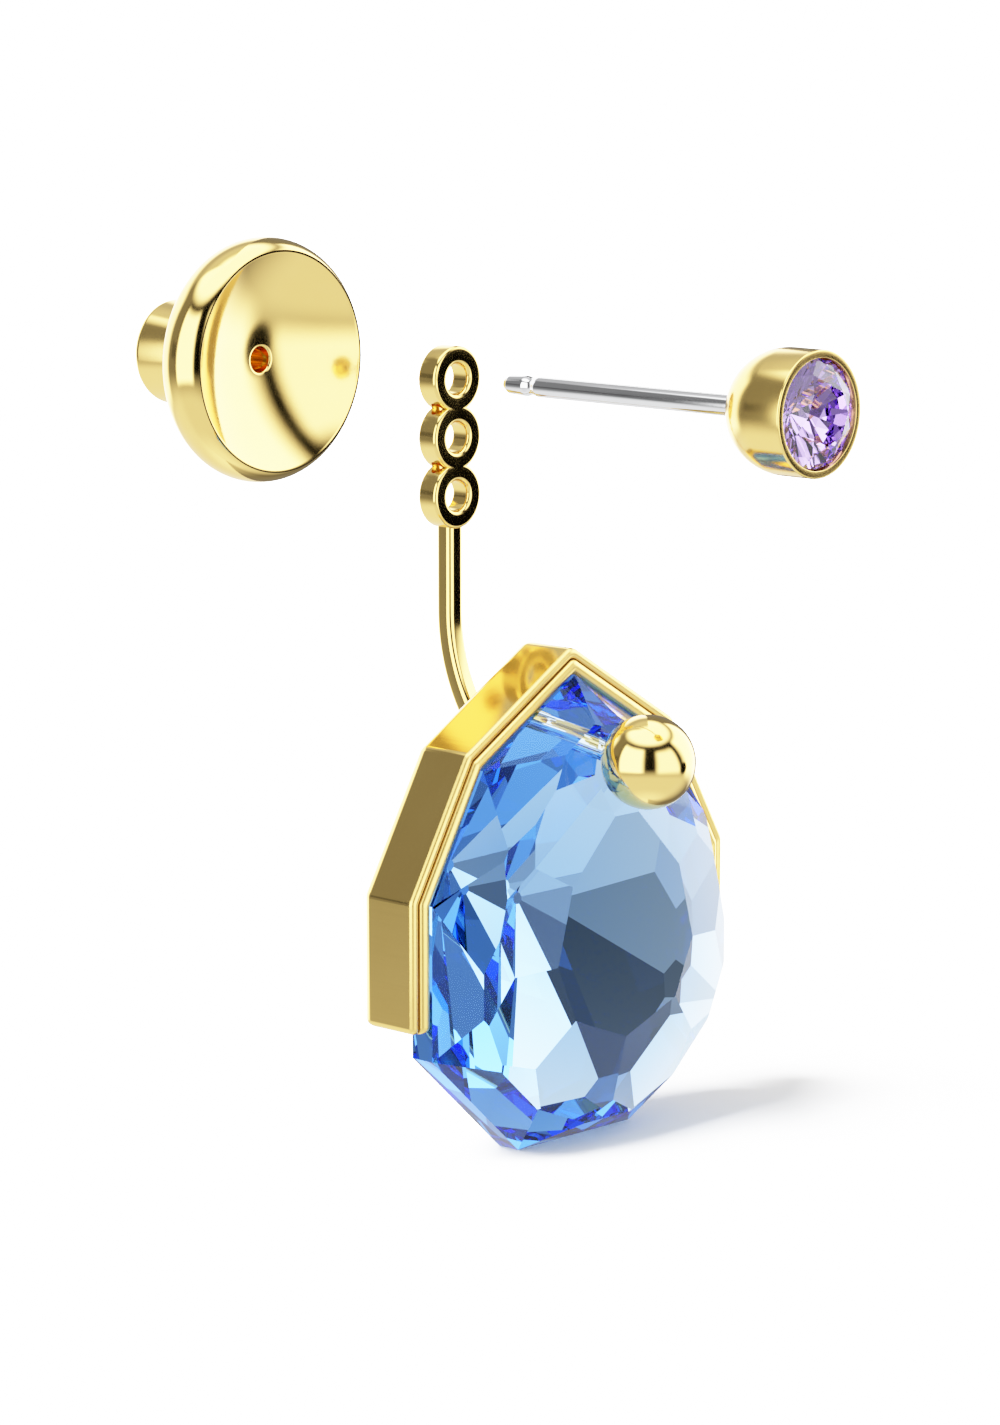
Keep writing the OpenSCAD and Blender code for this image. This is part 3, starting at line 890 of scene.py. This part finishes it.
# %% Studio panels
overhead = panel(4.0, rise(height, 44, 58), figure("SUBTRACT", 1, panel(
    0.9, rise(round_it, -113, -127), rise(height, 84, 66))))
left = panel(
    4.0, rise(round_it, -79, -72), rise(round_it, -8, -22),
    rise(height, -20, -12), rise(height, 44, 34))
middle = panel(
    3.4, rise(round_it, 12, 28), rise(slant, 83, 70),
    rise(height, -24, -9), rise(height, 40, 26))
right = panel(
    4.6, rise(slant, 85, 106), rise(round_it, 156, 147),
    rise(height, -30, -11), rise(height, 48, 38))
ground = [
    panel(1.3, rise(height, -6, -32), rise(round_it, 160, 90)),
    panel(0.6, rise(height, -55, -85))]
behind = [panel(0.24, rise(round_it, -60, -90)), panel(0.24, rise(round_it, 140, 160))]
dark_line = panel(
    -0.12, rise(round_it, -100, -94), rise(round_it, -78, -84),
    rise(height, -1, 3), rise(height, 14, 9))
panels = [overhead, left, middle, right, *ground, *behind, dark_line]
card_at, card_inner, card_outer = (0.7137, -0.6792, -0.1716), deg(7), deg(12)
round_card = smooth(along(card_at), math.cos(card_outer), math.cos(card_inner), 1, 0)
light = figure("MULTIPLY", gather("ADD", panels), round_card)
print("studio:", len(panels), "soft panels")

# %% [markdown]
# Glass needs more to show than metal: light that comes through the stone from
# behind, and dark cards that give its facets their contrast. A jeweller's
# photographer puts them just outside the picture. So some panels and cards
# are painted for the stones alone, and a side light for the metal alone.

# %% Panels and cards for the stones, and a side light for the metal
seen_through = [
    panel(3.4, rise(slant, 86, 99), rise(round_it, 156, 147),
          rise(height, -30, -11), rise(height, 48, 38)),
    panel(0.4, rise(height, -58, -78)),
    panel(1.3, rise(height, -22, -42), rise(round_it, 90, 130)),
    panel(4.0, rise(round_it, 140, 150), rise(height, -12, -4), rise(height, 40, 28)),
    panel(3.0, rise(round_it, -150, -134), rise(round_it, -76, -84),
          rise(height, -18, -4), rise(height, 50, 44)),
    panel(2.0, rise(round_it, -167, -157), rise(round_it, -134, -150), rise(height, 6, 12)),
    panel(-0.14, rise(round_it, -150, -158), rise(height, -7, -2), rise(height, 14, 8))]
cards = [
    panel(0.93, rise(round_it, 84, 90), rise(round_it, 134, 128),
          rise(height, 0, 5), rise(height, 27, 22)),
    panel(0.93, rise(round_it, 84, 90), rise(round_it, 112, 107),
          rise(height, 18, 22), rise(height, 36, 33)),
    panel(0.85, rise(round_it, 144, 150), rise(height, 27, 32)),
    panel(0.9, rise(round_it, 128, 133), rise(round_it, 154, 150),
          rise(height, -2, 3), rise(height, 19, 15)),
    panel(0.62, rise(round_it, 158, 166), rise(height, 9, 13)),
    panel(0.7, rise(round_it, -72, -62), rise(round_it, 70, 58), rise(height, 8, -2)),
    panel(0.7, rise(round_it, 30, 45), rise(round_it, 145, 135), rise(height, 50, 58))]
side_light = gather("ADD", [
    panel(3.2, rise(round_it, -104, -120), rise(height, -26, -14), rise(height, 40, 26)),
    panel(0.4, rise(round_it, -112, -130), rise(height, 24, 36))])
through, card = gather("ADD", seen_through), gather("MAXIMUM", cards)
print("for the stones:", len(seen_through), "panels and", len(cards), "dark cards")

# %% [markdown]
# What a ray sees depends on what it is. The camera sees plain white and the
# floor gets an even light, so that floor and background melt together. A ray
# that goes through glass also sees the panels and cards for the stones. One
# that has met two mirrors never finds full black, which keeps smudges off the
# band, and one that has met three, deep in a bore, has lost most of its light.

# %% What sees the panels
paper_white, even_light, faint, loss = 6.0, 1.0, 0.5, 0.7


def backdrop(strength):
    """A white light of one strength from everywhere."""
    return preset(
        sky.nodes.new("ShaderNodeBackground"), Color=(1, 1, 1, 1), Strength=strength)


ray = sky.nodes.new("ShaderNodeLightPath").outputs
in_glass = ray["Is Transmission Ray"]
on_metal = figure("SUBTRACT", 1, in_glass)
twice = figure("GREATER_THAN", ray["Glossy Depth"], 1.5)
three_times = figure("GREATER_THAN", ray["Glossy Depth"], 2.5)
light = figure("ADD", light, figure("MULTIPLY", through, in_glass))
light = figure("MULTIPLY", light, figure("SUBTRACT", 1, figure("MULTIPLY", card, in_glass)))
light = figure("ADD", light, figure("MULTIPLY", side_light, on_metal))
light = figure("MAXIMUM", light, gather("MULTIPLY", [faint, twice, on_metal]))
kept = figure("SUBTRACT", 1, gather("MULTIPLY", [loss, three_times, on_metal]))
light = figure("MULTIPLY", light, kept)
studio, even, white = backdrop(even_light), backdrop(even_light), sky.nodes["Background"]
preset(white, Color=(1, 1, 1, 1), Strength=paper_white)
first, second = sky.nodes.new("ShaderNodeMixShader"), sky.nodes.new("ShaderNodeMixShader")
link_chain(
    sky, (light, studio.inputs["Strength"]), (ray["Is Diffuse Ray"], first.inputs[0]),
    (studio.outputs[0], first.inputs[1]), (even.outputs[0], first.inputs[2]),
    (ray["Is Camera Ray"], second.inputs[0]), (first.outputs[0], second.inputs[1]),
    (white.outputs[0], second.inputs[2]),
    (second.outputs[0], sky.nodes["World Output"].inputs["Surface"]))
print("the camera sees white at", paper_white, "and the floor gets", even_light)

# %% [markdown]
# Light that is caught in a cut stone bounces many times before it gets out,
# so the limits on bounces are raised; with few of them those places would be
# black, where the real stone is deepest blue. A soft lamp from the left gives
# the floor a shadow with a direction.

# %% Bounces and lamp
paths = bpy.context.scene.cycles
paths.max_bounces, paths.transmission_bounces, paths.glossy_bounces = 32, 32, 16
sun = bpy.data.lights.new("lamp", "SUN")
sun.angle, sun.energy = deg(30), 22
lamp = placed("lamp", sun)
lamp.location = Vector((-0.2, 0.06, 0.26))
aim(lamp, Vector((0, 0, -0.02)) - lamp.location)
lamp.visible_glossy = lamp.visible_transmission = lamp.visible_camera = False
print("lamp:", sun.energy, "strong,", round(math.degrees(sun.angle)), "degrees wide")

# %% [markdown]
# A camera film doesn't cut bright light off, it bends it softly towards white.
# That is why bright gold turns cream and dark gold stays deep. The curve used
# here is 1 minus exp(-1.25 times the light), drawn with a few points. It ends
# where the camera sees the white backdrop.

# %% Film curve
bend_by = 1.25
film = bpy.context.scene.view_settings
film.view_transform = "Standard"
film.use_curve_mapping = True
film.curve_mapping.use_clip = False
film.curve_mapping.white_level = (paper_white,) * 3
curve = film.curve_mapping.curves[3]
stops = np.array([0.02, 0.05, 0.1, 0.16, 0.25, 0.38, 0.55, 0.75])
shades = 1 - np.exp(-bend_by * paper_white * stops)
for stop, shade in zip(stops, shades):
    curve.points.new(float(stop), float(shade))
film.curve_mapping.update()
print("film curve at", np.round(stops * paper_white, 2), "gives", np.round(shades, 2))
